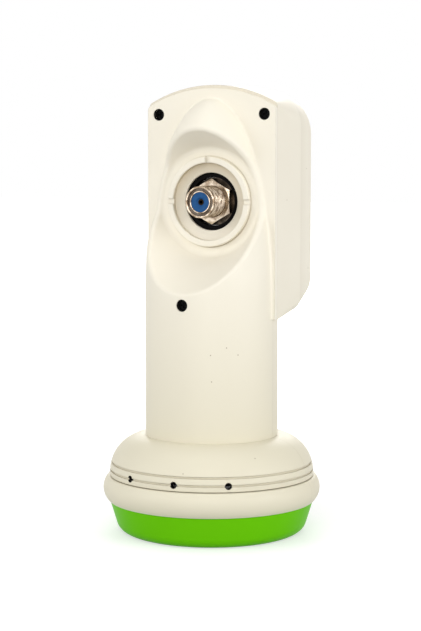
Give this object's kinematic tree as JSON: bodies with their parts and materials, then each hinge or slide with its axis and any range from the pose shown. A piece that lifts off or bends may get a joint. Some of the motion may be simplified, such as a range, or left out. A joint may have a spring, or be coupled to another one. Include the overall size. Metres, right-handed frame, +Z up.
{
  "type": "satellite low-noise block",
  "caption": "Satellite low-noise block with a cream moulded body, round clamping neck, bell foot with a green feed cap, and a threaded coaxial connector in a scooped recess.",
  "frame": {"origin": "centre of the feed cap's flat face, on the neck's axis", "axes": "+Z up the neck from the cap, -Y towards the connector"},
  "size_m": [0.0658, 0.0658, 0.1346],
  "materials": {
    "cream_plastic": "fine moulded texture, slightly satin",
    "green_plastic": "moulded, soft gloss",
    "black_rubber": "moulded",
    "blackened_steel": "black oxide",
    "bright_steel": "zinc plated",
    "brass": "turned",
    "cast_alloy": "as cast",
    "sheet_alloy": "pressed",
    "green_board": "solder resist",
    "white_plastic": "turned",
    "nickel_plate": "nickel plated, turned",
    "blue_plastic": "moulded",
    "puck_ceramic": "fired",
    "chip_plastic": "moulded",
    "capacitor_can": "drawn"
  },
  "bodies": {
    "root": {"front_cover": "cream_plastic", "rear_cover": "cream_plastic", "clamp_ring": "cream_plastic", "connector_collar": "cream_plastic", "feed_cap": "green_plastic", "cap_o_ring": "black_rubber", "connector_gasket": "black_rubber", "lid_gasket": "black_rubber", "cover_screws": "blackened_steel", "lid_screws": "bright_steel", "board_screws": "bright_steel", "tuning_screws": "brass", "diecast_body": "cast_alloy", "shield_lid": "sheet_alloy", "circuit_board": "green_board", "probe_straight": "brass", "probe_bent": "brass", "probe_bushes": "white_plastic", "isolation_pin": "bright_steel", "f_connector_shell": "nickel_plate", "f_connector_nut": "nickel_plate", "f_connector_washer": "nickel_plate", "f_connector_insulator": "blue_plastic", "f_connector_contact": "brass", "resonator_pucks": "puck_ceramic", "puck_spacers": "white_plastic", "amplifier_transistors": "chip_plastic", "mixer_chip": "chip_plastic", "voltage_regulator": "chip_plastic", "smoothing_capacitor": "capacitor_can"}
  },
  "joints": []
}
